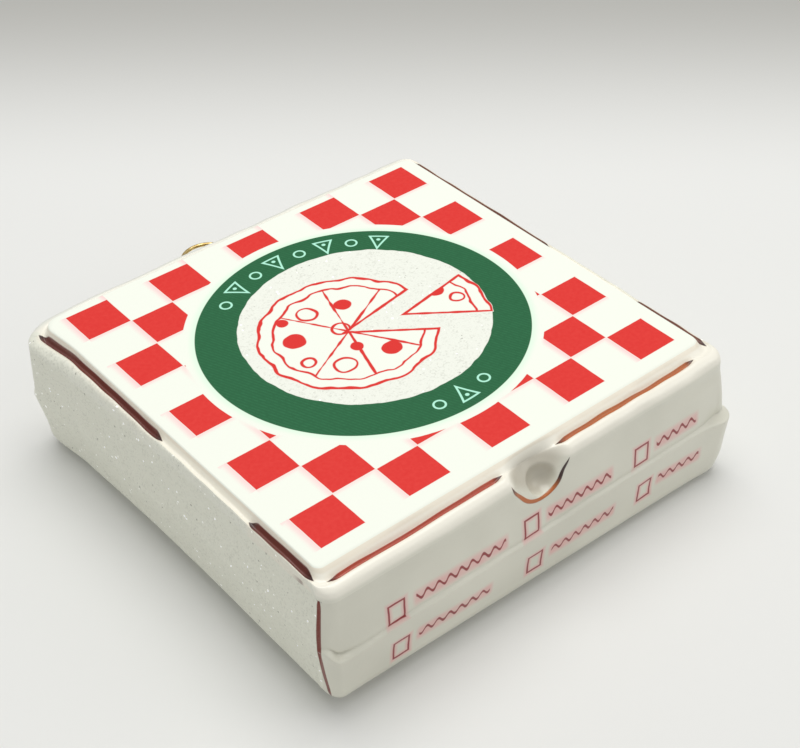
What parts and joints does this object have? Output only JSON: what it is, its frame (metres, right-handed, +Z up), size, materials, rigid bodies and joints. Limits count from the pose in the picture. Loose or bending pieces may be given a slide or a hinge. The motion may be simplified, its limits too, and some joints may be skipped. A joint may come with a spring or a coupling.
{
  "type": "pizza box glass ornament",
  "caption": "Blown glass hanging ornament shaped as a closed square pizza box with a thumb notch, with a scalloped metal cap on its neck and a sprung wire loop.",
  "frame": {"origin": "centre of the flat face the box lies on", "axes": "+Z up when it lies flat, +Y out of the back face along the neck and the wire loop, -Y out of the notched front"},
  "size_m": [0.0828, 0.0942, 0.0254],
  "materials": {
    "lacquered_glass": "satin pearl lacquer over blown glass, opaque",
    "gold_cap": "polished gold",
    "gold_wire": "polished gold"
  },
  "bodies": {
    "root": {"glass_body": "lacquered_glass", "ornament_cap": "gold_cap", "hanger_wire": "gold_wire"}
  },
  "joints": []
}
